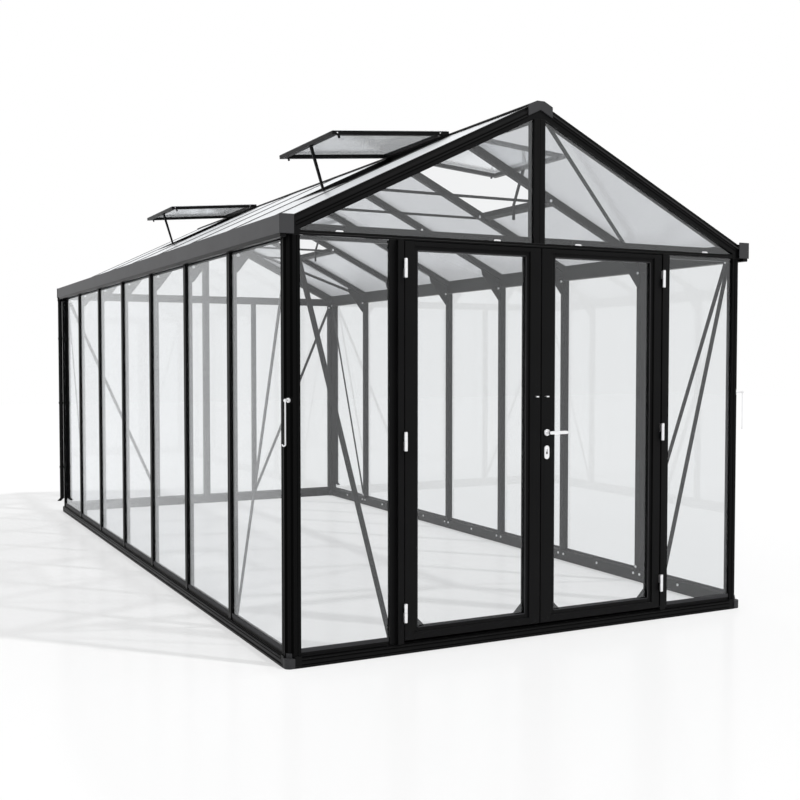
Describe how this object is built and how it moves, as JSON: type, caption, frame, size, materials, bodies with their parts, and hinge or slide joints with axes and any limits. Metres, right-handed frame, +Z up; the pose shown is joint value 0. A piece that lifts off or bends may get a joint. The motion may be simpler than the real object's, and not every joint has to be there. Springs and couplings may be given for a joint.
{
  "type": "glass greenhouse",
  "caption": "Pitched-roof glass greenhouse with slim dark metal glazing bars, glazed double doors, gutters and open roof vents.",
  "frame": {"origin": "on the ground under the middle of the building", "axes": "+Z up, doors face -Y, ridge along Y, +X to the right seen from the doors"},
  "size_m": [2.886, 5.934, 2.744],
  "materials": {
    "black_paint": "satin black powder coat",
    "dark_grey_paint": "dark grey powder coat",
    "bright_steel": "brushed stainless steel",
    "clear_glass": "clear toughened glass"
  },
  "bodies": {
    "frame": {"back_uprights": "black_paint", "back_wall_glass": "clear_glass", "base_corners": "dark_grey_paint", "base_side_rails": "black_paint", "collar_ties": "black_paint", "corner_posts": "black_paint", "door_jambs": "black_paint", "door_stops": "black_paint", "door_threshold": "black_paint", "downpipes": "black_paint", "eave_beams": "black_paint", "end_sills": "black_paint", "end_transoms": "black_paint", "frame_fittings": "bright_steel", "front_fixed_glass": "clear_glass", "gable_glass": "clear_glass", "gable_rafters": "black_paint", "gutter_end_caps": "dark_grey_paint", "gutters": "dark_grey_paint", "king_post": "black_paint", "knee_plates": "black_paint", "ridge_beam": "black_paint", "ridge_end_caps": "dark_grey_paint", "roof_braces": "black_paint", "roof_glass": "clear_glass", "roof_rafters": "black_paint", "side_wall_bars": "black_paint", "side_wall_glass": "clear_glass", "vent_cross_bars": "black_paint", "vent_glass": "clear_glass", "vent_side_bars": "black_paint", "vent_sills": "black_paint", "vent_struts": "black_paint", "wall_braces": "black_paint"},
    "left_door": {"left_door_stiles": "black_paint", "left_door_rails": "black_paint", "left_door_glass": "clear_glass", "left_door_fittings": "bright_steel"},
    "right_door": {"right_door_stiles": "black_paint", "right_door_rails": "black_paint", "right_door_glass": "clear_glass", "right_door_fittings": "bright_steel"},
    "door_handle": {"lever_handle": "bright_steel"},
    "left_hook": {"left_wind_hook": "bright_steel"},
    "right_hook": {"right_wind_hook": "bright_steel"}
  },
  "joints": [
    {"name": "left_door_hinge", "type": "hinge", "parent": "frame", "child": "left_door", "pos_m": [-0.785, -2.962, 1.034], "axis": [0, 0, -1], "range_deg": [0, 165]},
    {"name": "right_door_hinge", "type": "hinge", "parent": "frame", "child": "right_door", "pos_m": [0.785, -2.962, 1.034], "axis": [0, 0, 1], "range_deg": [0, 165]},
    {"name": "lever_turn", "type": "hinge", "parent": "right_door", "child": "door_handle", "pos_m": [0.034, -2.947, 1.052], "axis": [0, 1, 0], "range_deg": [0, 40], "stiffness_Nm_per_rad": 0.6},
    {"name": "left_hook_swing", "type": "hinge", "parent": "frame", "child": "left_hook", "pos_m": [-1.38775, -2.93375, 1.24], "axis": [-0.7071, -0.7071, 0], "range_deg": [0, 75]},
    {"name": "right_hook_swing", "type": "hinge", "parent": "frame", "child": "right_hook", "pos_m": [1.38775, -2.93375, 1.24], "axis": [-0.7071, 0.7071, 0], "range_deg": [0, 75]}
  ]
}
